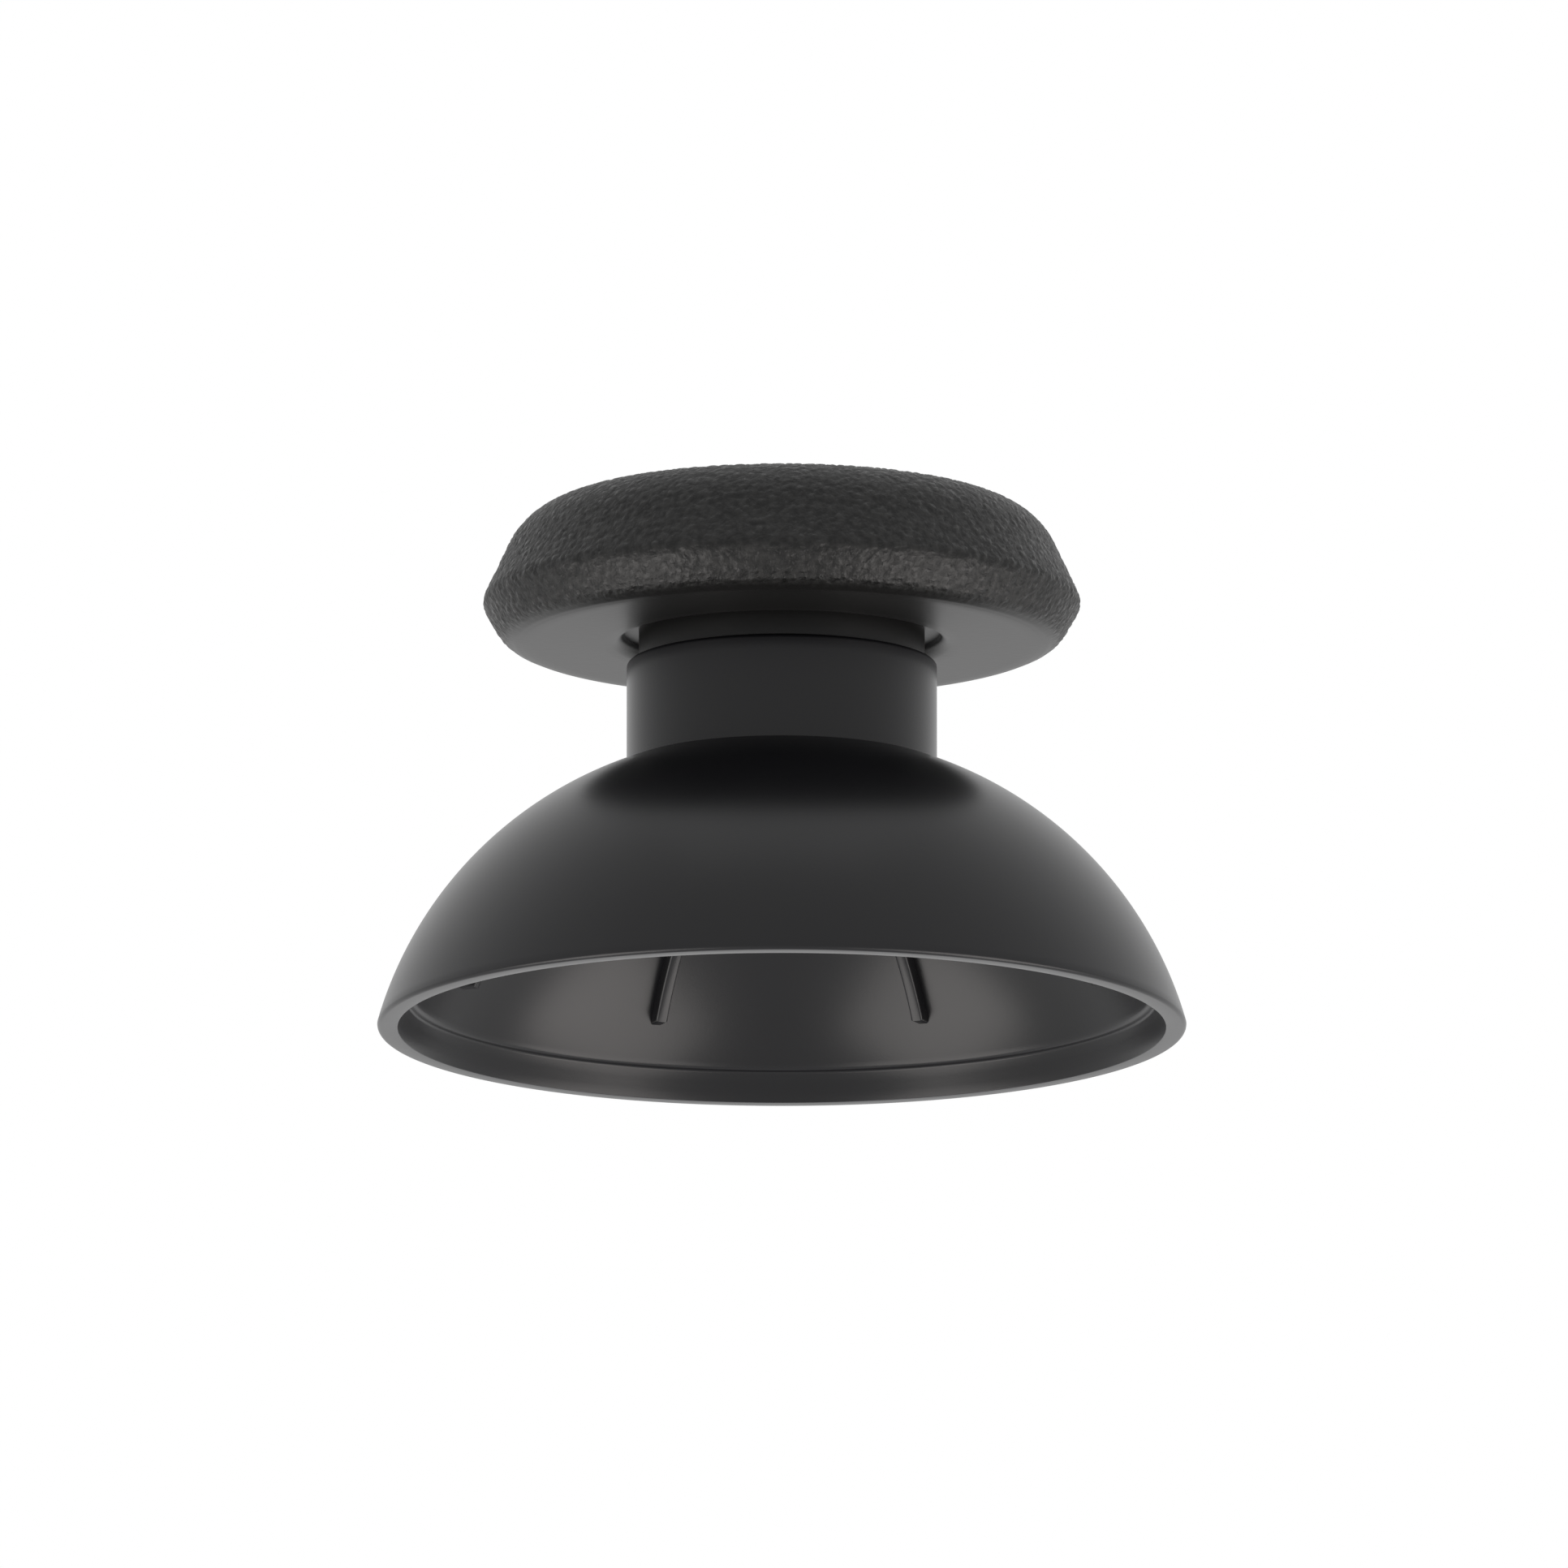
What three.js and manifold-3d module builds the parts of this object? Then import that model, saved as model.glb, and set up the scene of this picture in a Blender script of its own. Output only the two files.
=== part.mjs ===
// Thumbstick cap for a game controller: a rigid stem with a domed skirt, and a soft grip head on top.
// Millimetres, +Z up. The cap stands on the rim of its dome, with its axis on Z and the rim on z = 0.
import * as THREE from "three";
import { mergeVertices } from "three/addons/utils/BufferGeometryUtils.js";
import Module from "manifold-3d";

const wasm = await Module();
wasm.setup();

// Dome: a thin skirt whose section is an arc with its centre a little off the axis
const RIM_RADIUS = 13.0;
const RIM_EDGE_ROUND = 0.13;
const RIM_FACE_WIDTH = 0.52;
const DOME_CENTRE_RADIUS = 0.9;
const DOME_CENTRE_DROP = 3.3;
const SKIRT_WALL = 0.84;

// Bevelled lip inside the rim, which ends at a narrow ledge under the inner wall. The ledge's edge and
// its hollow corner are rounded, each by no more than its share of the ledge's width.
const LIP_HEIGHT = 0.96;
const LIP_LEAN = 0.28;
const LEDGE_EDGE_ROUND = 0.18;
const LEDGE_CORNER_ROUND = 0.1;
const LEDGE_EDGE_SHARE = 0.8;
const LEDGE_CORNER_SHARE = 0.45;

// Neck, and the thinner post on top of it that carries the head
const NECK_RADIUS = 4.99;
const NECK_SHOULDER_ROUND = 0.14;
const POST_SEAT_DEPTH = 2.2;

// Hub on the axis, with a blind socket that has two flats
const HUB_RADIUS = 2.9;
const HUB_END_HEIGHT = 3.2;
const SOCKET_RADIUS = 2.0;
const SOCKET_FLAT_SPAN = 3.0;
const SOCKET_DEPTH = 5.0;

// Thin ribs that follow the skirt's inner wall
const RIB_COUNT = 8;
const RIB_THICKNESS = 0.4;
const RIB_DEPTH = 0.45;
const RIB_END_HEIGHT = 2.2;

// Grip head. The crest's outer round is no more than its share of the widest one that still leaves a
// sloping side up from the widest circle.
const HEAD_TOP_HEIGHT = 17.12;
const CREST_RADIUS = 6.62;
const CREST_OUTER_ROUND = 2.45;
const CREST_ROUND_SHARE = 0.85;
const CREST_INNER_ROUND = 1.6;
const DISH_DEPTH = 1.1;
const WIDEST_RADIUS = 9.67;
const WIDEST_HEIGHT = 13.94;
const WIDEST_ROUND = 0.48;
const UNDERSIDE_RADIUS = 8.92;
const UNDERSIDE_HEIGHT = 12.6;
const UNDERSIDE_ROUND = 1.03;

// Collar of the head around the post. It closes down on the neck's shoulder, set in from the neck's side.
const COLLAR_REACH = 0.6;
const COLLAR_INSET = 0.39;
const COLLAR_WALL = 0.4;
const COLLAR_EDGE_ROUND = 0.06;
const COLLAR_SEAM = 0.05;
const POST_CLEARANCE = 0.05;

// Recess in the head's underside around the collar, a little wider than the neck. Its mouth is rounded,
// by no more than its share of the recess's depth.
const RECESS_CLEARANCE = 0.11;
const RECESS_DEPTH = 0.42;
const RECESS_MOUTH_ROUND = 0.38;
const RECESS_MOUTH_SHARE = 0.95;

// Drawing resolution: the sides of a full circle are a multiple of four, so corners lie on both axes
const CIRCLE_SIDES = 64;
const DOME_STEPS = 12;
const CREST_STEPS = 6;
const DISH_STEPS = 5;
const ROUND_STEPS = 3;
const SOCKET_STEPS = 10;

// Sizes that follow from the ones above
const domeRadius = Math.hypot(RIM_RADIUS - DOME_CENTRE_RADIUS, DOME_CENTRE_DROP + RIM_EDGE_ROUND);
const innerDomeRadius = domeRadius - SKIRT_WALL;
const lipBottomRadius = RIM_RADIUS - RIM_EDGE_ROUND - RIM_FACE_WIDTH;
const lipTopRadius = lipBottomRadius - LIP_LEAN;
const collarEndHeight = UNDERSIDE_HEIGHT - COLLAR_REACH;
const neckTopHeight = collarEndHeight - COLLAR_SEAM;
const collarRadius = NECK_RADIUS - COLLAR_INSET;
const boreRadius = collarRadius - COLLAR_WALL;
const postRadius = boreRadius - POST_CLEARANCE;
const seatHeight = UNDERSIDE_HEIGHT + POST_SEAT_DEPTH;
const socketCeilingHeight = HUB_END_HEIGHT + SOCKET_DEPTH;

// A point of a section: x is the distance from the axis and y the height.
function at(radius, height) {
  return new THREE.Vector2(radius, height);
}

// Points along an arc from one angle to another, in radians from the outward direction.
function arc(centre, radius, from, to, steps) {
  const points = [];
  for (let i = 0; i <= steps; i++) {
    const angle = from + ((to - from) * i) / steps;
    points.push(at(centre.x + radius * Math.cos(angle), centre.y + radius * Math.sin(angle)));
  }
  return points;
}

// The corner between two straight runs, rounded with the given radius.
function roundedCorner(before, corner, after, radius) {
  const back = before.clone().sub(corner).normalize();
  const ahead = after.clone().sub(corner).normalize();
  const halfAngle = Math.acos(THREE.MathUtils.clamp(back.dot(ahead), -1, 1)) / 2;
  const middle = back.clone().add(ahead).normalize();
  const centre = corner.clone().addScaledVector(middle, radius / Math.sin(halfAngle));
  const tangentLength = radius / Math.tan(halfAngle);
  const first = corner.clone().addScaledVector(back, tangentLength).sub(centre);
  const last = corner.clone().addScaledVector(ahead, tangentLength).sub(centre);
  const sweep = Math.atan2(first.cross(last), first.dot(last));
  return arc(centre, radius, first.angle(), first.angle() + sweep, ROUND_STEPS);
}

// Centre of both arcs of the dome's section.
function domeCentre() {
  return at(DOME_CENTRE_RADIUS, -DOME_CENTRE_DROP);
}

// Angle on an arc about the dome's centre at which it reaches a height.
function domeAngleAtHeight(radius, height) {
  return Math.asin((height + DOME_CENTRE_DROP) / radius);
}

// Angle on an arc about the dome's centre at which it reaches a distance from the axis.
function domeAngleAtRadius(radius, distance) {
  return Math.acos((distance - DOME_CENTRE_RADIUS) / radius);
}

// A full turn of a closed section about Z.
function turned(section) {
  return new THREE.LatheGeometry(section, CIRCLE_SIDES).rotateX(Math.PI / 2);
}

// A closed geometry as a solid that can be joined and cut.
function solidOf(geometry) {
  const plain = geometry.clone();
  plain.deleteAttribute("normal");
  plain.deleteAttribute("uv");
  const merged = mergeVertices(plain);
  const corners = [];
  for (let i = 0; i < merged.index.count; i += 3) {
    const a = merged.index.getX(i);
    const b = merged.index.getX(i + 1);
    const c = merged.index.getX(i + 2);
    if (a !== b && b !== c && c !== a) corners.push(a, b, c);
  }
  return new wasm.Manifold(
    new wasm.Mesh({
      numProp: 3,
      vertProperties: new Float32Array(merged.attributes.position.array),
      triVerts: new Uint32Array(corners),
    }),
  );
}

// A solid back as a geometry to draw.
function geometryOf(solid) {
  const mesh = solid.getMesh();
  const geometry = new THREE.BufferGeometry();
  geometry.setAttribute("position", new THREE.BufferAttribute(new Float32Array(mesh.vertProperties), 3));
  geometry.setIndex(new THREE.BufferAttribute(new Uint32Array(mesh.triVerts), 1));
  geometry.computeVertexNormals();
  return geometry;
}

// Section of the stem: rim face, edge round, dome, neck, shoulder, post, then the hub and the inner wall.
function stemSection() {
  const centre = domeCentre();
  const rimRoundCentre = at(RIM_RADIUS - RIM_EDGE_ROUND, RIM_EDGE_ROUND);
  const domeStart = domeAngleAtHeight(domeRadius, RIM_EDGE_ROUND);
  const domeEnd = domeAngleAtRadius(domeRadius, NECK_RADIUS);
  const neckCorner = at(NECK_RADIUS, neckTopHeight);
  const postFoot = at(postRadius, neckTopHeight);
  const wallStart = domeAngleAtHeight(innerDomeRadius, LIP_HEIGHT);
  const wallEnd = domeAngleAtRadius(innerDomeRadius, HUB_RADIUS);
  const wall = arc(centre, innerDomeRadius, wallEnd, wallStart, DOME_STEPS);
  const wallCorner = wall.pop();
  const lipTop = at(lipTopRadius, LIP_HEIGHT);
  const lipBottom = at(lipBottomRadius, 0);
  const ledgeWidth = lipTop.x - wallCorner.x;
  const ledgeEdgeRound = Math.min(LEDGE_EDGE_ROUND, LEDGE_EDGE_SHARE * ledgeWidth);
  const ledgeCornerRound = Math.min(LEDGE_CORNER_ROUND, LEDGE_CORNER_SHARE * ledgeWidth);
  return [
    lipBottom,
    ...arc(rimRoundCentre, RIM_EDGE_ROUND, -Math.PI / 2, 0, ROUND_STEPS),
    ...arc(centre, domeRadius, domeStart, domeEnd, DOME_STEPS).slice(1),
    ...roundedCorner(at(NECK_RADIUS, 0), neckCorner, postFoot, NECK_SHOULDER_ROUND),
    postFoot,
    at(postRadius, seatHeight),
    at(0, seatHeight),
    at(0, HUB_END_HEIGHT),
    at(HUB_RADIUS, HUB_END_HEIGHT),
    ...wall,
    ...roundedCorner(wall[wall.length - 1], wallCorner, lipTop, ledgeEdgeRound),
    ...roundedCorner(wallCorner, lipTop, lipBottom, ledgeCornerRound),
    lipBottom,
  ];
}

// One rib, a flat plate in a plane through the axis. It ends inside the hub and inside the wall.
function ribSolid(index) {
  const freeRadius = innerDomeRadius - RIB_DEPTH;
  const rootRadius = innerDomeRadius + SKIRT_WALL / 2;
  const inHub = HUB_RADIUS / 2;
  const freeEdge = arc(
    domeCentre(),
    freeRadius,
    domeAngleAtHeight(freeRadius, RIB_END_HEIGHT),
    domeAngleAtRadius(freeRadius, inHub),
    DOME_STEPS,
  );
  const rootEdge = arc(
    domeCentre(),
    rootRadius,
    domeAngleAtRadius(rootRadius, inHub),
    domeAngleAtHeight(rootRadius, RIB_END_HEIGHT),
    DOME_STEPS,
  );
  const outline = new THREE.Shape([...rootEdge, ...freeEdge]);
  const plate = new THREE.ExtrudeGeometry(outline, { depth: RIB_THICKNESS, bevelEnabled: false });
  plate.translate(0, 0, -RIB_THICKNESS / 2);
  plate.rotateX(Math.PI / 2);
  plate.rotateZ(((index + 0.5) * 2 * Math.PI) / RIB_COUNT);
  return solidOf(plate);
}

// The socket: a round hole whose sides are cut off by two flats.
function socketSolid() {
  const halfSpan = SOCKET_FLAT_SPAN / 2;
  const flatAngle = Math.asin(halfSpan / SOCKET_RADIUS);
  const outline = new THREE.Shape([
    ...arc(at(0, 0), SOCKET_RADIUS, -flatAngle, flatAngle, SOCKET_STEPS),
    ...arc(at(0, 0), SOCKET_RADIUS, Math.PI - flatAngle, Math.PI + flatAngle, SOCKET_STEPS),
  ]);
  const openEnd = HUB_END_HEIGHT - SOCKET_DEPTH / 2;
  const core = new THREE.ExtrudeGeometry(outline, {
    depth: socketCeilingHeight - openEnd,
    bevelEnabled: false,
  });
  core.translate(0, 0, openEnd);
  return solidOf(core);
}

// The rigid moulding: neck, dome, ribs and hub in one piece.
function stemDome() {
  let solid = solidOf(turned(stemSection()));
  for (let index = 0; index < RIB_COUNT; index++) {
    solid = solid.add(ribSolid(index));
  }
  solid = solid.subtract(socketSolid());
  const satinPlastic = new THREE.MeshStandardMaterial({ color: 0x24272a, roughness: 0.38, metalness: 0 });
  const mesh = new THREE.Mesh(geometryOf(solid), satinPlastic);
  mesh.name = "stem_dome";
  return mesh;
}

// The crest's outer arc, from where the sloping side touches it up to its top.
function crestOuterArc() {
  const widest = at(WIDEST_RADIUS, WIDEST_HEIGHT);
  const crestTop = at(CREST_RADIUS, HEAD_TOP_HEIGHT);
  const widestRound = crestTop.distanceToSquared(widest) / (2 * (crestTop.y - widest.y));
  const round = Math.min(CREST_OUTER_ROUND, CREST_ROUND_SHARE * widestRound);
  const centre = at(CREST_RADIUS, HEAD_TOP_HEIGHT - round);
  const toCentre = centre.clone().sub(widest);
  const sideAngle = toCentre.angle() - Math.asin(round / toCentre.length());
  return arc(centre, round, sideAngle - Math.PI / 2, Math.PI / 2, CREST_STEPS);
}

// The crest's inner arc and the dish, a shallow bowl that touches it and is centred on the axis.
function crestInnerArcAndDish() {
  const crestCentre = at(CREST_RADIUS, HEAD_TOP_HEIGHT - CREST_INNER_ROUND);
  const centreDistance = (CREST_RADIUS ** 2 / DISH_DEPTH + DISH_DEPTH) / 2;
  const bowlRadius = centreDistance - CREST_INNER_ROUND;
  const bowlCentre = at(0, HEAD_TOP_HEIGHT - DISH_DEPTH + bowlRadius);
  const meeting = bowlCentre.clone().sub(crestCentre).angle();
  return [
    ...arc(crestCentre, CREST_INNER_ROUND, Math.PI / 2, meeting, ROUND_STEPS).slice(1),
    ...arc(bowlCentre, bowlRadius, meeting - Math.PI, -Math.PI / 2, DISH_STEPS).slice(1),
  ];
}

// Section of the head: seat, bore, collar, recess, underside, chamfer, sloping side, crest and dish.
function headSection() {
  const recessCeilingHeight = UNDERSIDE_HEIGHT + RECESS_DEPTH;
  const recessRadius = NECK_RADIUS + RECESS_CLEARANCE;
  const recessMouthRound = Math.min(RECESS_MOUTH_ROUND, RECESS_MOUTH_SHARE * RECESS_DEPTH);
  const boreMouth = at(boreRadius, collarEndHeight);
  const collarEdge = at(collarRadius, collarEndHeight);
  const collarRoot = at(collarRadius, recessCeilingHeight);
  const recessTop = at(recessRadius, recessCeilingHeight);
  const recessMouth = at(recessRadius, UNDERSIDE_HEIGHT);
  const undersideEdge = at(UNDERSIDE_RADIUS, UNDERSIDE_HEIGHT);
  const widest = at(WIDEST_RADIUS, WIDEST_HEIGHT);
  const crest = crestOuterArc();
  return [
    at(0, seatHeight),
    at(boreRadius, seatHeight),
    boreMouth,
    ...roundedCorner(boreMouth, collarEdge, collarRoot, COLLAR_EDGE_ROUND),
    collarRoot,
    recessTop,
    ...roundedCorner(recessTop, recessMouth, undersideEdge, recessMouthRound),
    ...roundedCorner(recessMouth, undersideEdge, widest, UNDERSIDE_ROUND),
    ...roundedCorner(undersideEdge, widest, crest[0], WIDEST_ROUND),
    ...crest,
    ...crestInnerArcAndDish(),
  ];
}

// The soft grip head, seated on the post.
function gripHead() {
  const softRubber = new THREE.MeshStandardMaterial({ color: 0x2b2b2c, roughness: 0.85, metalness: 0 });
  const mesh = new THREE.Mesh(turned(headSection()), softRubber);
  mesh.name = "grip_head";
  return mesh;
}

const group = new THREE.Group();
group.name = "thumbstick_cap";
group.add(stemDome());
group.add(gripHead());

export default group;
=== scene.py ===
# Thumbstick cap with a grained grip head on a satin stem and a domed skirt.
# Metres, +Z up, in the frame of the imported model: the cap stands on its rim with its axis on Z.
import math

import bpy
import numpy as np
from mathutils import Matrix, Vector, noise


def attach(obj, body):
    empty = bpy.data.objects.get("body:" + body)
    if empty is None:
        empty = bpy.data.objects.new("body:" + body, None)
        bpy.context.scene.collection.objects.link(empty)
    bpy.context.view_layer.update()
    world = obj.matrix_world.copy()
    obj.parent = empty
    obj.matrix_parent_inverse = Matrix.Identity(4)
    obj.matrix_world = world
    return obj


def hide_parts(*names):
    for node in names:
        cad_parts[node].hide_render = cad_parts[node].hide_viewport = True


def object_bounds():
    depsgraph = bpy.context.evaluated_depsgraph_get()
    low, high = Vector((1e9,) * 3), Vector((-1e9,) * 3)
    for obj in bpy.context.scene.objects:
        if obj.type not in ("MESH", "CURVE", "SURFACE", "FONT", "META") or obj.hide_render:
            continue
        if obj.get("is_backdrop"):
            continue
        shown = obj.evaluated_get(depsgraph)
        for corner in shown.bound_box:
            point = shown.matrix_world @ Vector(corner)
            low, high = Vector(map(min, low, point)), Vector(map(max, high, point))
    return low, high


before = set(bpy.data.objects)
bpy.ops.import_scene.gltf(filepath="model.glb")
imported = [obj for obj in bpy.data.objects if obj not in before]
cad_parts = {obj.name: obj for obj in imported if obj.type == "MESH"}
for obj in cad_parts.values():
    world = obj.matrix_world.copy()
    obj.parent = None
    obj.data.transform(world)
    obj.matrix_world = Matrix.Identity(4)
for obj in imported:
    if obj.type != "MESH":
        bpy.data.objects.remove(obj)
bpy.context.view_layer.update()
MM = 0.001


# Camera: a long lens that looks up at the cap from a little below its rim.
# It stands so far off that the near and the far side of the rim look equally wide.
camera_distance = 2.0
camera_elevation = math.radians(-11.46)
camera_turn = math.radians(1.4)
image_width_px = 1932
px_per_mm = 38.32
aim_height = 8.01 * MM
aim_right = 0.07 * MM

camera_data = bpy.data.cameras.new("long_lens")
camera_data.lens = camera_data.sensor_width * camera_distance / (image_width_px / px_per_mm * MM)
camera_data.clip_start = 0.01
camera_data.clip_end = 50.0
camera = bpy.data.objects.new("camera", camera_data)
bpy.context.scene.collection.objects.link(camera)
camera_right = Vector((math.cos(camera_turn), math.sin(camera_turn), 0))
camera_back = Vector((
    math.sin(camera_turn) * math.cos(camera_elevation),
    -math.cos(camera_turn) * math.cos(camera_elevation),
    math.sin(camera_elevation),
))
camera.location = Vector((0, 0, aim_height)) + camera_right * aim_right + camera_back * camera_distance
camera.rotation_mode = "QUATERNION"
camera.rotation_quaternion = camera_back.to_track_quat("Z", "Y")
bpy.context.scene.camera = camera
bpy.context.scene.view_settings.view_transform = "Standard"


# Stage floor: a pale table top that the cap stands on and throws its shadow on.
# It is one-sided, so that the camera under it looks through it, and it throws no light back.
floor_half_width = 3.0
floor_drop = 0.02 * MM
floor_colour = (0.86, 0.86, 0.85, 1)

floor_sides = ((-1, -1), (1, -1), (1, 1), (-1, 1))
floor_mesh = bpy.data.meshes.new("table_top")
floor_mesh.from_pydata(
    [(x * floor_half_width, y * floor_half_width, -floor_drop) for x, y in floor_sides],
    [],
    [(0, 1, 2, 3)],
)
floor = bpy.data.objects.new("table_top", floor_mesh)
bpy.context.scene.collection.objects.link(floor)
floor.visible_diffuse = False
floor.visible_glossy = False
floor.visible_transmission = False
floor.visible_shadow = False
floor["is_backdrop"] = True


def new_material(name):
    """An empty material and its node tree, with an output node."""
    material = bpy.data.materials.new(name)
    material.use_nodes = True
    material.node_tree.nodes.clear()
    output = material.node_tree.nodes.new("ShaderNodeOutputMaterial")
    return material, material.node_tree, output


table_paint, tree, output = new_material("table_paint")
paint = tree.nodes.new("ShaderNodeBsdfDiffuse")
paint.inputs["Color"].default_value = floor_colour
see_through = tree.nodes.new("ShaderNodeBsdfTransparent")
which_side = tree.nodes.new("ShaderNodeNewGeometry")
one_sided = tree.nodes.new("ShaderNodeMixShader")
tree.links.new(which_side.outputs["Backfacing"], one_sided.inputs["Fac"])
tree.links.new(paint.outputs["BSDF"], one_sided.inputs[1])
tree.links.new(see_through.outputs["BSDF"], one_sided.inputs[2])
tree.links.new(one_sided.outputs["Shader"], output.inputs["Surface"])
floor_mesh.materials.append(table_paint)


# Studio: a white backdrop behind the cap, a dim room in front of it and pale screens low at the sides.
# Each band of levels runs from front to back, the sky's by the direction's depth and the others' by
# its bearing. The camera and the reflections on the cap see plain white all round.
ground_level = 0.12
deep_band_edge = (-0.88, -0.62)
low_band_edge = (-0.42, -0.22)
sky_band_edge = (-0.14, 0.03)
deep_band = (
    (0.00, 0.10),
    (0.10, 0.12),
    (0.20, 0.30),
    (0.35, 0.50),
    (0.60, 0.90),
    (0.80, 1.00),
    (1.00, 0.60),
)
low_band = (
    (0.00, 0.45),
    (0.06, 0.30),
    (0.14, 0.35),
    (0.25, 0.95),
    (0.42, 1.45),
    (0.62, 1.50),
    (0.80, 1.40),
    (1.00, 0.85),
)
sky_band = (
    (0.00, 0.50),
    (0.12, 0.60),
    (0.25, 0.66),
    (0.40, 0.67),
    (0.50, 0.78),
    (0.60, 1.05),
    (0.70, 1.55),
    (0.85, 1.62),
)
brightest_level = 2.0

world = bpy.data.worlds.new("studio")
world.use_nodes = True
bpy.context.scene.world = world
tree = world.node_tree
tree.nodes.clear()
direction = tree.nodes.new("ShaderNodeTexCoord")
split = tree.nodes.new("ShaderNodeSeparateXYZ")
tree.links.new(direction.outputs["Generated"], split.inputs["Vector"])
level_part = tree.nodes.new("ShaderNodeCombineXYZ")
tree.links.new(split.outputs["X"], level_part.inputs["X"])
tree.links.new(split.outputs["Y"], level_part.inputs["Y"])
bearing = tree.nodes.new("ShaderNodeVectorMath")
bearing.operation = "NORMALIZE"
tree.links.new(level_part.outputs["Vector"], bearing.inputs[0])
bearing_parts = tree.nodes.new("ShaderNodeSeparateXYZ")
tree.links.new(bearing.outputs["Vector"], bearing_parts.inputs["Vector"])


def share_of_brightest(level):
    """A light level as a grey in which 1 is the brightest level of the room."""
    return (level / brightest_level,) * 3 + (1,)


def band_light(tree, levels, place):
    """Light levels that follow a place from -1 in front to 1 at the back."""
    share = tree.nodes.new("ShaderNodeMapRange")
    share.inputs["From Min"].default_value = -1
    share.inputs["From Max"].default_value = 1
    tree.links.new(place, share.inputs["Value"])
    ramp_node = tree.nodes.new("ShaderNodeValToRGB")
    ramp_node.color_ramp.interpolation = "B_SPLINE"
    while len(ramp_node.color_ramp.elements) < len(levels):
        ramp_node.color_ramp.elements.new(0.5)
    for element, (position, level) in zip(ramp_node.color_ramp.elements, levels):
        element.position = position
        element.color = share_of_brightest(level)
    tree.links.new(share.outputs["Result"], ramp_node.inputs["Fac"])
    return ramp_node.outputs["Color"]


ground = tree.nodes.new("ShaderNodeRGB")
ground.outputs["Color"].default_value = share_of_brightest(ground_level)
room = ground.outputs["Color"]
for (start, end), light in (
    (deep_band_edge, band_light(tree, deep_band, bearing_parts.outputs["Y"])),
    (low_band_edge, band_light(tree, low_band, bearing_parts.outputs["Y"])),
    (sky_band_edge, band_light(tree, sky_band, split.outputs["Y"])),
):
    rise = tree.nodes.new("ShaderNodeMapRange")
    rise.interpolation_type = "SMOOTHSTEP"
    rise.inputs["From Min"].default_value = start
    rise.inputs["From Max"].default_value = end
    tree.links.new(split.outputs["Z"], rise.inputs["Value"])
    blend = tree.nodes.new("ShaderNodeMix")
    blend.data_type = "RGBA"
    tree.links.new(rise.outputs["Result"], blend.inputs["Factor"])
    tree.links.new(room, blend.inputs["A"])
    tree.links.new(light, blend.inputs["B"])
    room = blend.outputs["Result"]
room_light = tree.nodes.new("ShaderNodeBackground")
room_light.inputs["Strength"].default_value = brightest_level
tree.links.new(room, room_light.inputs["Color"])
white = tree.nodes.new("ShaderNodeBackground")
white.inputs["Color"].default_value = (1, 1, 1, 1)
white.inputs["Strength"].default_value = 1
ray = tree.nodes.new("ShaderNodeLightPath")
seen = ray.outputs["Is Camera Ray"]
for kind in ("Is Glossy Ray", "Is Transmission Ray"):
    either = tree.nodes.new("ShaderNodeMath")
    either.operation = "MAXIMUM"
    tree.links.new(seen, either.inputs[0])
    tree.links.new(ray.outputs[kind], either.inputs[1])
    seen = either.outputs["Value"]
pick = tree.nodes.new("ShaderNodeMixShader")
tree.links.new(seen, pick.inputs["Fac"])
tree.links.new(room_light.outputs["Background"], pick.inputs[1])
tree.links.new(white.outputs["Background"], pick.inputs[2])
world_output = tree.nodes.new("ShaderNodeOutputWorld")
tree.links.new(pick.outputs["Shader"], world_output.inputs["Surface"])


# Softboxes: two warm ones low at the sides light the inside of the dome, and one hangs over the cap.
# Each is a plain area lamp that the camera doesn't see.
low_softbox_distance = 0.5
low_softbox_width = 0.34
low_softbox_level = 4.2
overhead_distance = 0.6
overhead_width = 0.40
overhead_level = 0.35


def softbox(name, towards, distance, length, width, level, colour):
    """An area lamp that faces the cap. Its level is its brightness, where 1 is a white card's."""
    lamp = bpy.data.lights.new(name, "AREA")
    lamp.shape = "RECTANGLE"
    lamp.size = length
    lamp.size_y = width
    lamp.energy = level * math.pi * length * width
    lamp.color = colour
    outward = Vector(towards).normalized()
    lengthwise = (Vector((0, 1, 0)) - outward * outward.y).normalized()
    box = bpy.data.objects.new(name, lamp)
    bpy.context.scene.collection.objects.link(box)
    turned_to_cap = Matrix((lengthwise, outward.cross(lengthwise), outward)).transposed()
    box.matrix_world = Matrix.Translation(outward * distance) @ turned_to_cap.to_4x4()
    box.visible_camera = False


for name, towards, length, colour in (
    ("low_left_softbox", (-0.65, -0.37, -0.64), 0.42, (1.0, 0.96, 0.93)),
    ("low_right_softbox", (0.72, -0.29, -0.60), 0.46, (1.0, 0.95, 0.92)),
):
    softbox(name, towards, low_softbox_distance, length, low_softbox_width, low_softbox_level, colour)
softbox(
    "overhead_softbox",
    towards=(0, 0, 1),
    distance=overhead_distance,
    length=overhead_width,
    width=overhead_width,
    level=overhead_level,
    colour=(1.0, 1.0, 1.0),
)


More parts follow.
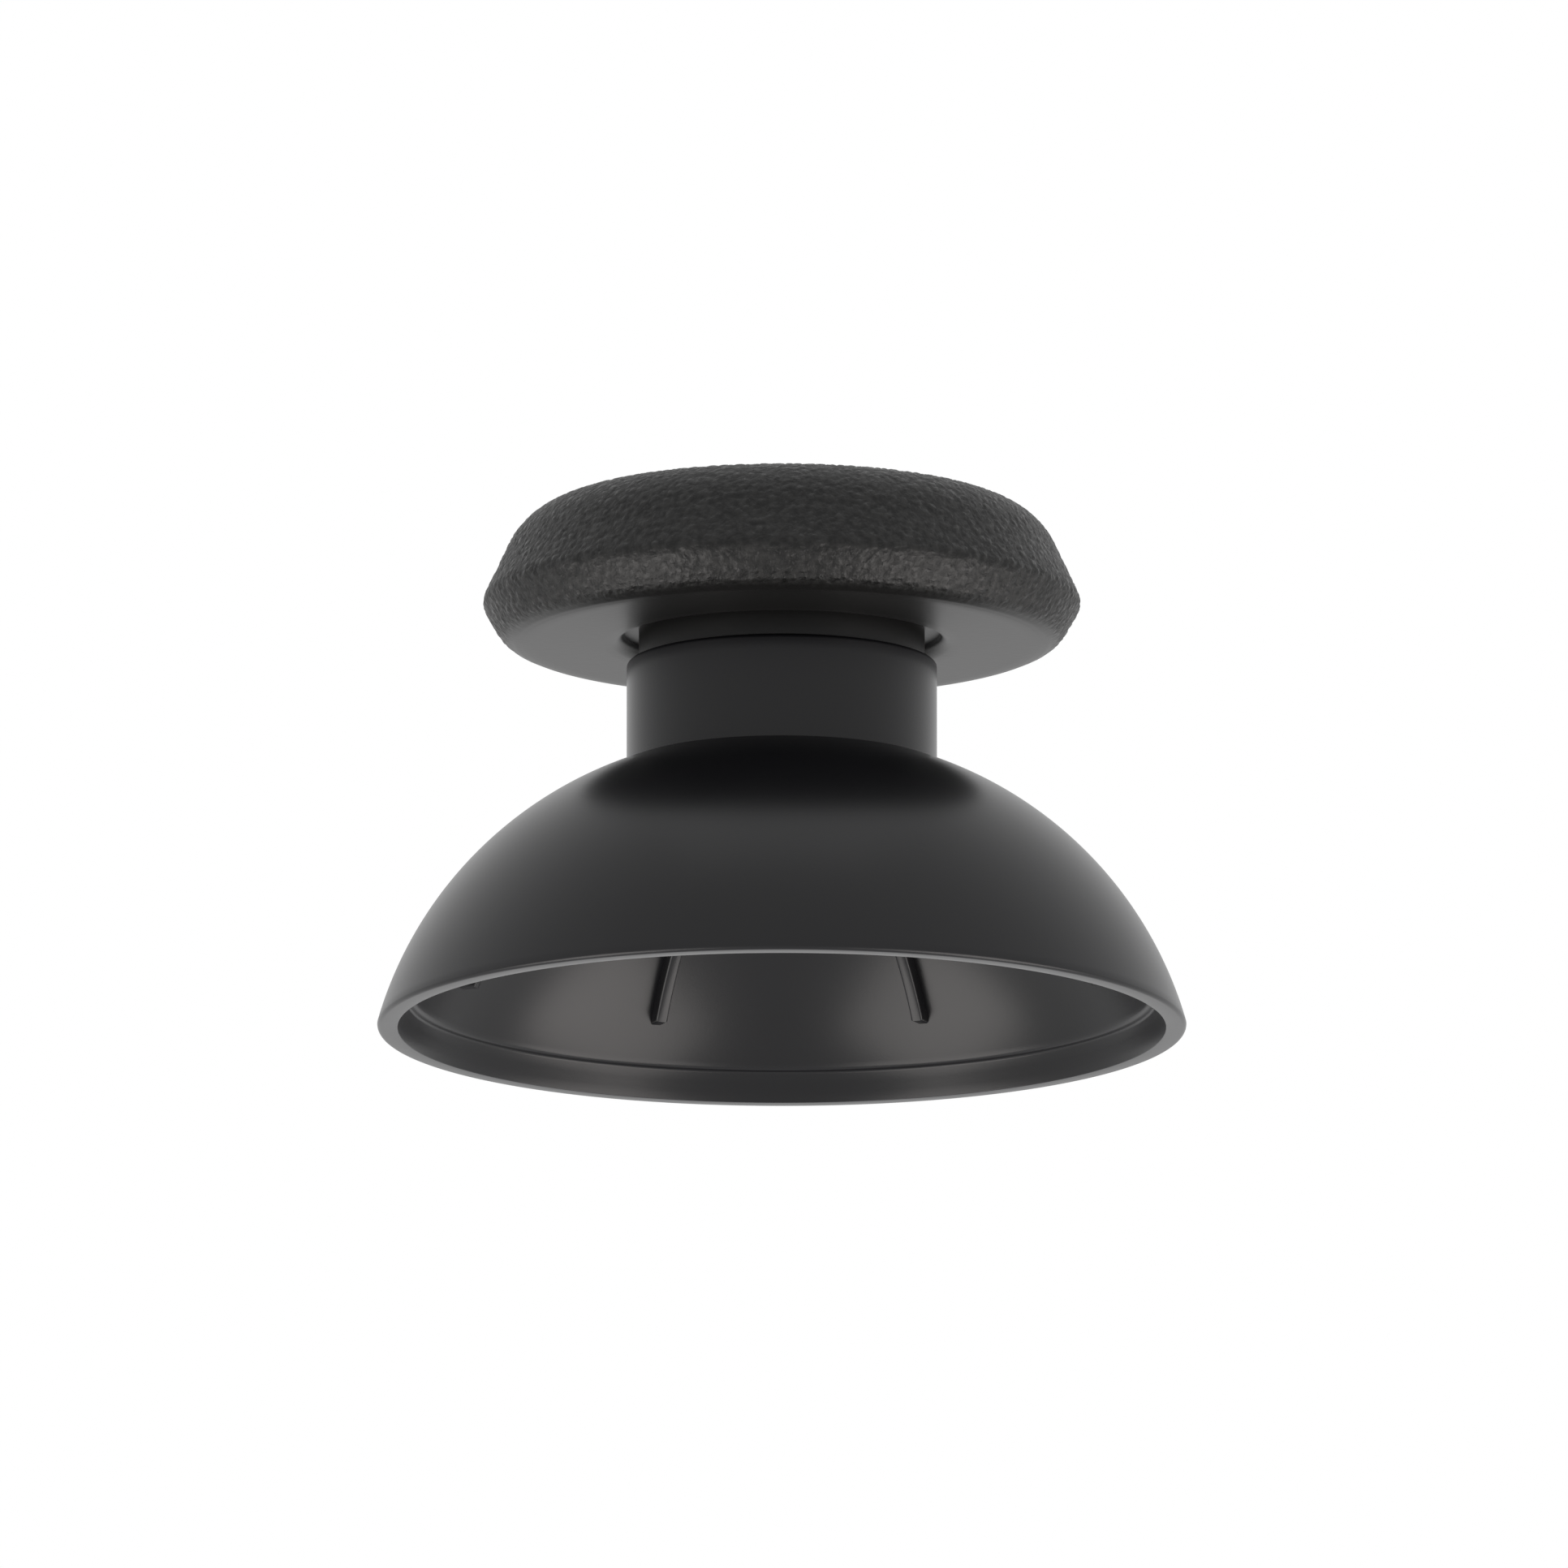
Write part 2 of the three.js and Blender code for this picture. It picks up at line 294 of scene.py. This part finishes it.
# Stem: the rigid satin plastic moulding. Its straight neck widens into a thin domed skirt with a
# bevelled lip, and its hub has a socket with two flats that is pushed on the stick's post.
# It is turned from one section, and the socket's wall is then pressed flat on two sides.
rim_radius = 13.0
rim_edge_round = 0.13
rim_edge_step = 0.04
rim_inner_edge_round = 0.03
rim_face_width = 0.52
dome_centre = (0.9, -3.3)
skirt_wall = 0.84
lip_height = 0.96
lip_lean = 0.28
ledge_edge_round = 0.18
ledge_corner_round = 0.1
neck_radius = 4.99
neck_shoulder_round = 0.14
neck_top_height = 11.95
post_radius = 4.15
seat_height = 14.8
hub_radius = 2.9
hub_end_height = 3.2
hub_edge_round = 0.12
socket_radius = 2.0
socket_flat_span = 3.0
socket_ceiling_height = 8.2
socket_lead_in = 0.15
stem_sides = 384
longest_run = 0.4
touching = 0.001


def arc(centre, radius, start, end, step_length=0.25):
    """Points of a section along an arc, in millimetres, with the angles in radians."""
    steps = max(4, math.ceil(abs(end - start) * radius / step_length))
    angles = np.linspace(start, end, steps + 1)
    return [(centre[0] + radius * math.cos(a), centre[1] + radius * math.sin(a)) for a in angles]


def rounded(before, corner, after, radius):
    """The corner between two straight runs of a section, rounded."""
    corner = Vector(corner)
    back = (Vector(before) - corner).normalized()
    ahead = (Vector(after) - corner).normalized()
    half_angle = back.angle(ahead) / 2
    centre = corner + (back + ahead).normalized() * (radius / math.sin(half_angle))
    reach = radius / math.tan(half_angle)
    first = corner + back * reach - centre
    last = corner + ahead * reach - centre
    start = math.atan2(first.y, first.x)
    sweep = math.atan2(first.x * last.y - first.y * last.x, first.dot(last))
    return arc(centre, radius, start, start + sweep, radius / 3)


def with_long_runs_split(section, longest):
    """The section with no run between two points longer than this."""
    points = []
    for here, there in zip(section, section[1:]):
        count = max(1, math.ceil(math.dist(here, there) / longest))
        for i in range(count):
            points.append((
                here[0] + (there[0] - here[0]) * i / count,
                here[1] + (there[1] - here[1]) * i / count,
            ))
    return points + [section[-1]]


def turned(section, sides):
    """The corners and faces of a section turned about Z. It starts and ends on the axis."""
    angles = np.arange(sides) * 2 * math.pi / sides
    corners = [(0, 0, section[0][1]), (0, 0, section[-1][1])]
    faces = []
    rings = section[1:-1]
    for radius, height in rings:
        corners.extend((radius * math.cos(a), radius * math.sin(a), height) for a in angles)
    for side in range(sides):
        after = (side + 1) % sides
        faces.append((0, 2 + after, 2 + side))
        last_ring = 2 + (len(rings) - 1) * sides
        faces.append((1, last_ring + side, last_ring + after))
        for ring in range(len(rings) - 1):
            low = 2 + ring * sides
            high = low + sides
            faces.append((low + side, low + after, high + after, high + side))
    return np.array(corners), faces


def mesh_object(name, corners, faces, sharp_angle):
    """A mesh object in metres from corners in millimetres, smooth but for its sharp edges."""
    mesh = bpy.data.meshes.new(name)
    mesh.from_pydata([tuple(c * MM) for c in corners], [], faces)
    mesh.validate()
    mesh.shade_smooth()
    mesh.set_sharp_from_angle(angle=math.radians(sharp_angle))
    piece = bpy.data.objects.new(name, mesh)
    bpy.context.scene.collection.objects.link(piece)
    return piece


dome_radius = math.hypot(rim_radius - dome_centre[0], rim_edge_round - dome_centre[1])
inner_dome_radius = dome_radius - skirt_wall


def dome_angle_at_height(radius, height):
    """Where an arc about the dome's centre reaches a height."""
    return math.asin((height - dome_centre[1]) / radius)


def dome_angle_at_radius(radius, distance):
    """Where an arc about the dome's centre reaches a distance from the axis."""
    return math.acos((distance - dome_centre[0]) / radius)


rim_round_centre = (rim_radius - rim_edge_round, rim_edge_round)
lip_bottom = (rim_round_centre[0] - rim_face_width, 0)
lip_top = (lip_bottom[0] - lip_lean, lip_height)
wall = arc(
    dome_centre,
    inner_dome_radius,
    dome_angle_at_radius(inner_dome_radius, hub_radius),
    dome_angle_at_height(inner_dome_radius, lip_height),
)
hub_edge = (hub_radius, hub_end_height)
socket_edge = (socket_radius + socket_lead_in, hub_end_height)
socket_mouth = (socket_radius, hub_end_height)
socket_ceiling = (socket_radius, socket_ceiling_height)
neck_foot = (neck_radius, 0)
neck_edge = (neck_radius, neck_top_height)
post_foot = (post_radius, neck_top_height)
stem_section = (
    [(0, socket_ceiling_height), socket_ceiling]
    + rounded(socket_ceiling, socket_mouth, hub_edge, socket_lead_in)
    + rounded(socket_edge, hub_edge, wall[0], hub_edge_round)
    + wall[:-1]
    + rounded(wall[-2], wall[-1], lip_top, ledge_edge_round)
    + rounded(wall[-1], lip_top, lip_bottom, ledge_corner_round)
    + rounded(lip_top, lip_bottom, (rim_radius, 0), rim_inner_edge_round)
    + arc(rim_round_centre, rim_edge_round, -math.pi / 2, 0, rim_edge_step)
    + arc(
        dome_centre,
        dome_radius,
        dome_angle_at_height(dome_radius, rim_edge_round),
        dome_angle_at_radius(dome_radius, neck_radius),
    )[1:]
    + rounded(neck_foot, neck_edge, post_foot, neck_shoulder_round)
    + [post_foot, (post_radius, seat_height), (0, seat_height)]
)
corners, faces = turned(with_long_runs_split(stem_section, longest_run), stem_sides)

# The socket's rings are those up to its ceiling that lie inside the lead-in.
from_axis = np.hypot(corners[:, 0], corners[:, 1])
inside_lead_in = from_axis < socket_radius + socket_lead_in + touching
up_to_ceiling = corners[:, 2] < socket_ceiling_height + touching
flat_half_span = socket_flat_span / 2 + np.maximum(from_axis - socket_radius, 0)
flattened = np.clip(corners[:, 1], -flat_half_span, flat_half_span)
corners[:, 1] = np.where(inside_lead_in & up_to_ceiling, flattened, corners[:, 1])
stem = mesh_object("stem_neck_and_dome", corners, faces, sharp_angle=40)
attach(stem, "root")
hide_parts("stem_dome")


def mottle_group():
    """The slow patches and the fine grain of a moulded skin, as two masks from 0 to 1."""
    group = bpy.data.node_groups.new("moulded_skin_unevenness", "ShaderNodeTree")
    sockets = group.interface
    for name, value in (("Patch Size mm", 4.0), ("Grain Size mm", 0.12)):
        socket = sockets.new_socket(name=name, in_out="INPUT", socket_type="NodeSocketFloat")
        socket.default_value = value
    for name in ("Patches", "Grain"):
        sockets.new_socket(name=name, in_out="OUTPUT", socket_type="NodeSocketFloat")
    given = group.nodes.new("NodeGroupInput")
    result = group.nodes.new("NodeGroupOutput")
    place = group.nodes.new("ShaderNodeTexCoord")
    for size, mask, detail in (("Patch Size mm", "Patches", 3.0), ("Grain Size mm", "Grain", 2.0)):
        per_metre = group.nodes.new("ShaderNodeMath")
        per_metre.operation = "DIVIDE"
        per_metre.inputs[0].default_value = 1 / MM
        spots = group.nodes.new("ShaderNodeTexNoise")
        spots.inputs["Detail"].default_value = detail
        group.links.new(given.outputs[size], per_metre.inputs[1])
        group.links.new(per_metre.outputs["Value"], spots.inputs["Scale"])
        group.links.new(place.outputs["Object"], spots.inputs["Vector"])
        group.links.new(spots.outputs["Fac"], result.inputs[mask])
    return group


def skin_nodes(tree, group, patch_size, grain_size):
    """The group placed in a material with that material's own sizes."""
    skin = tree.nodes.new("ShaderNodeGroup")
    skin.node_tree = group
    skin.inputs["Patch Size mm"].default_value = patch_size
    skin.inputs["Grain Size mm"].default_value = grain_size
    return skin


def spread(tree, mask, low, high):
    """A mask from 0 to 1 stretched to lie between two values."""
    stretch = tree.nodes.new("ShaderNodeMapRange")
    stretch.inputs["To Min"].default_value = low
    stretch.inputs["To Max"].default_value = high
    tree.links.new(mask, stretch.inputs["Value"])
    return stretch.outputs["Result"]


def tinted(tree, mask, dark, light):
    """A colour between two, by a mask."""
    mix = tree.nodes.new("ShaderNodeMix")
    mix.data_type = "RGBA"
    mix.inputs["A"].default_value = dark + (1,)
    mix.inputs["B"].default_value = light + (1,)
    tree.links.new(mask, mix.inputs["Factor"])
    return mix.outputs["Result"]


def bumped(tree, height, relief, strength):
    """A normal from a height, with the relief that a height of 1 stands for in millimetres."""
    bump = tree.nodes.new("ShaderNodeBump")
    bump.inputs["Distance"].default_value = relief * MM
    bump.inputs["Strength"].default_value = strength
    tree.links.new(height, bump.inputs["Height"])
    return bump.outputs["Normal"]


darker_plastic = (0.0052, 0.0052, 0.0062)
paler_plastic = (0.0074, 0.0074, 0.0086)

skin_unevenness = mottle_group()
satin_plastic, tree, output = new_material("satin_charcoal_plastic")
surface = tree.nodes.new("ShaderNodeBsdfPrincipled")
surface.inputs["Specular IOR Level"].default_value = 0.28
skin = skin_nodes(tree, skin_unevenness, patch_size=5.0, grain_size=0.06)
plastic_colour = tinted(tree, skin.outputs["Patches"], darker_plastic, paler_plastic)
plastic_roughness = spread(tree, skin.outputs["Patches"], low=0.27, high=0.33)
plastic_normal = bumped(tree, skin.outputs["Grain"], relief=0.003, strength=0.5)
tree.links.new(plastic_colour, surface.inputs["Base Color"])
tree.links.new(plastic_roughness, surface.inputs["Roughness"])
tree.links.new(plastic_normal, surface.inputs["Normal"])
tree.links.new(surface.outputs["BSDF"], output.inputs["Surface"])
stem.data.materials.append(satin_plastic)


# Ribs: eight thin plates that stiffen the skirt from inside. They are moulded with the stem
# in the same satin plastic, run from the hub along the inner wall and end square above the lip.
rib_count = 8
rib_thickness = 0.4
rib_depth = 0.45
rib_end_height = 2.2
rib_edge_round = 0.07
rib_edge_middle = 0.3

free_radius = inner_dome_radius - rib_depth
root_radius = inner_dome_radius + skirt_wall / 2
in_hub = hub_radius / 2
free_edge = arc(
    dome_centre,
    free_radius,
    dome_angle_at_height(free_radius, rib_end_height),
    dome_angle_at_radius(free_radius, in_hub),
)
root_edge = arc(
    dome_centre,
    root_radius,
    dome_angle_at_radius(root_radius, in_hub),
    dome_angle_at_height(root_radius, rib_end_height),
)
rib_outline = (root_edge + free_edge)[::-1]
rib_corners = []
rib_faces = []
edge_middle = rib_edge_middle * rib_edge_round
edge_steps = ((0, rib_edge_round), (edge_middle, edge_middle), (rib_edge_round, 0))
layers = [(depth - rib_thickness / 2, inset) for depth, inset in edge_steps]
layers += [(rib_thickness / 2 - depth, inset) for depth, inset in edge_steps[::-1]]


def drawn_in(outline, distance):
    """A closed outline that runs counterclockwise, moved inwards along its own normals."""
    points = np.array(outline)
    along = np.roll(points, -1, axis=0) - np.roll(points, 1, axis=0)
    along /= np.linalg.norm(along, axis=1)[:, None]
    inward = np.column_stack((-along[:, 1], along[:, 0]))
    return points + inward * distance


count = len(rib_outline)
for index in range(rib_count):
    turn = (index + 0.5) * 2 * math.pi / rib_count
    outward = np.array((math.cos(turn), math.sin(turn), 0))
    sideways = np.array((-math.sin(turn), math.cos(turn), 0))
    first = len(rib_corners)
    for offset, inset in layers:
        for radius, height in drawn_in(rib_outline, inset):
            rib_corners.append(outward * radius + sideways * offset + np.array((0, 0, height)))
    for layer in range(len(layers) - 1):
        low = first + layer * count
        high = low + count
        for i in range(count):
            j = (i + 1) % count
            rib_faces.append((low + i, high + i, high + j, low + j))
    last = first + (len(layers) - 1) * count
    half = count // 2
    for i in range(half - 1):
        rib_faces.append((first + i, first + i + 1, first + count - 2 - i, first + count - 1 - i))
        rib_faces.append((last + count - 1 - i, last + count - 2 - i, last + i + 1, last + i))
ribs = mesh_object("skirt_ribs", rib_corners, rib_faces, sharp_angle=50)
ribs.data.materials.append(satin_plastic)
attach(ribs, "root")


# Grip head: the soft rubber moulding that the thumb rests on. A shallow dish lies inside a round
# crest, the sloping side is grained to give grip, and the underside is smooth. It is pressed on the
# post at the top of the neck, with a collar and a recess around it.
head_top_height = 17.12
crest_radius = 6.62
crest_outer_round = 2.45
crest_inner_round = 1.6
dish_depth = 1.1
widest = (9.67, 13.94)
widest_round = 0.48
underside_radius = 8.92
underside_height = 12.6
underside_round = 1.03
collar_radius = 4.6
collar_end_height = 11.965
collar_edge_round = 0.06
recess_radius = 5.1
recess_ceiling_height = 13.02
recess_mouth_round = 0.38
bore_radius = 4.2
head_sides = 640
crest_inner_step = 0.1
dish_step = 0.35
grain_step = 0.085
grain_heights = (12.62, 12.95)
grain_radii = (5.2, 6.4)
upward_heights = (14.6, 17.1)
pebble_size = 0.26
pebble_edge = 0.45
pebble_relief = 0.035

crest_centre = Vector((crest_radius, head_top_height - crest_outer_round))
to_centre = crest_centre - Vector(widest)
side_angle = math.atan2(to_centre.y, to_centre.x) - math.asin(crest_outer_round / to_centre.length)
crest = arc(crest_centre, crest_outer_round, side_angle - math.pi / 2, math.pi / 2, grain_step)
crest_inner_centre = Vector((crest_radius, head_top_height - crest_inner_round))
bowl_radius = (crest_radius**2 / dish_depth + dish_depth) / 2 - crest_inner_round
bowl_centre = Vector((0, head_top_height - dish_depth + bowl_radius))
to_crest = bowl_centre - crest_inner_centre
meeting = math.atan2(to_crest.y, to_crest.x)
inner_crest = arc(crest_inner_centre, crest_inner_round, math.pi / 2, meeting, crest_inner_step)
dish = arc(bowl_centre, bowl_radius, meeting - math.pi, -math.pi / 2, dish_step)
bore_mouth = (bore_radius, collar_end_height)
collar_edge = (collar_radius, collar_end_height)
collar_root = (collar_radius, recess_ceiling_height)
recess_top = (recess_radius, recess_ceiling_height)
recess_mouth = (recess_radius, underside_height)
underside_edge = (underside_radius, underside_height)
smooth_part = (
    [(0, seat_height), (bore_radius, seat_height), bore_mouth]
    + rounded(bore_mouth, collar_edge, collar_root, collar_edge_round)
    + [collar_root, recess_top]
    + rounded(recess_top, recess_mouth, underside_edge, recess_mouth_round)
)
grained_part = (
    rounded(recess_mouth, underside_edge, widest, underside_round)
    + rounded(underside_edge, widest, crest[0], widest_round)
    + crest
)
head_section = (
    with_long_runs_split(smooth_part + grained_part[:1], longest_run)[:-1]
    + with_long_runs_split(grained_part, grain_step)
    + inner_crest[1:]
    + dish[1:]
)
corners, faces = turned(head_section, head_sides)
from_axis = np.hypot(corners[:, 0], corners[:, 1])
heights = corners[:, 2]


def ramp(values, start, end):
    """0 before the start, 1 after the end, and smooth between them."""
    share = np.clip((values - start) / (end - start), 0, 1)
    return share * share * (3 - 2 * share)


# The grain fades out over the round under the chamfer and over the crest's inner side. Its relief
# goes in from the side, and turns to go down from above over the crest.
grained = ramp(heights, *grain_heights) * ramp(from_axis, *grain_radii)
upward = ramp(heights, *upward_heights)
sideways_share = (1 - upward) / np.maximum(from_axis, touching)
outward = np.column_stack((corners[:, 0] * sideways_share, corners[:, 1] * sideways_share, upward))
outward /= np.linalg.norm(outward, axis=1)[:, None]
cell_gaps = np.zeros(len(corners))
for i in np.nonzero(grained > 0)[0]:
    distances, _ = noise.voronoi(Vector(corners[i] / pebble_size))
    cell_gaps[i] = distances[1] - distances[0]
grain_valleys = grained * (1 - ramp(cell_gaps, 0, pebble_edge))
corners -= outward * (grain_valleys * pebble_relief)[:, None]
head = mesh_object("grip_head_rubber", corners, faces, sharp_angle=60)
for name, values in (("grained", grained), ("grain_valleys", grain_valleys)):
    mask = head.data.attributes.new(name, "FLOAT", "POINT")
    mask.data.foreach_set("value", values.astype(np.float32))
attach(head, "root")
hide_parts("grip_head")

darker_smooth_rubber = (0.0058, 0.0057, 0.0056)
paler_smooth_rubber = (0.0082, 0.0081, 0.0080)
darker_grain = (0.0015, 0.0015, 0.0014)
paler_grain = (0.0140, 0.0138, 0.0135)

soft_rubber, tree, output = new_material("soft_charcoal_rubber")
surface = tree.nodes.new("ShaderNodeBsdfPrincipled")
surface.inputs["Specular IOR Level"].default_value = 0.26
skin = skin_nodes(tree, skin_unevenness, patch_size=3.0, grain_size=0.26)
grained_skin = tree.nodes.new("ShaderNodeAttribute")
grained_skin.attribute_name = "grained"
valleys = tree.nodes.new("ShaderNodeAttribute")
valleys.attribute_name = "grain_valleys"

# The colour is patchy on the smooth skin and speckled on the grained one.
speckle = tree.nodes.new("ShaderNodeMapRange")
speckle.inputs["From Min"].default_value = 0.38
speckle.inputs["From Max"].default_value = 0.64
tree.links.new(skin.outputs["Grain"], speckle.inputs["Value"])
smooth_colour = tinted(tree, skin.outputs["Patches"], darker_smooth_rubber, paler_smooth_rubber)
grain_colour = tinted(tree, speckle.outputs["Result"], darker_grain, paler_grain)
colour = tree.nodes.new("ShaderNodeMix")
colour.data_type = "RGBA"
tree.links.new(grained_skin.outputs["Fac"], colour.inputs["Factor"])
tree.links.new(smooth_colour, colour.inputs["A"])
tree.links.new(grain_colour, colour.inputs["B"])
tree.links.new(colour.outputs["Result"], surface.inputs["Base Color"])

# The grained skin is rougher in its valleys and bumpier than the smooth one.
rubber_roughness = spread(tree, valleys.outputs["Fac"], low=0.36, high=0.54)
grain_height = tree.nodes.new("ShaderNodeMath")
grain_height.operation = "MULTIPLY"
tree.links.new(skin.outputs["Grain"], grain_height.inputs[0])
tree.links.new(spread(tree, grained_skin.outputs["Fac"], low=0.04, high=1.0), grain_height.inputs[1])
rubber_normal = bumped(tree, grain_height.outputs["Value"], relief=0.07, strength=1.0)
tree.links.new(rubber_roughness, surface.inputs["Roughness"])
tree.links.new(rubber_normal, surface.inputs["Normal"])
tree.links.new(surface.outputs["BSDF"], output.inputs["Surface"])
head.data.materials.append(soft_rubber)


low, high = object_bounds()
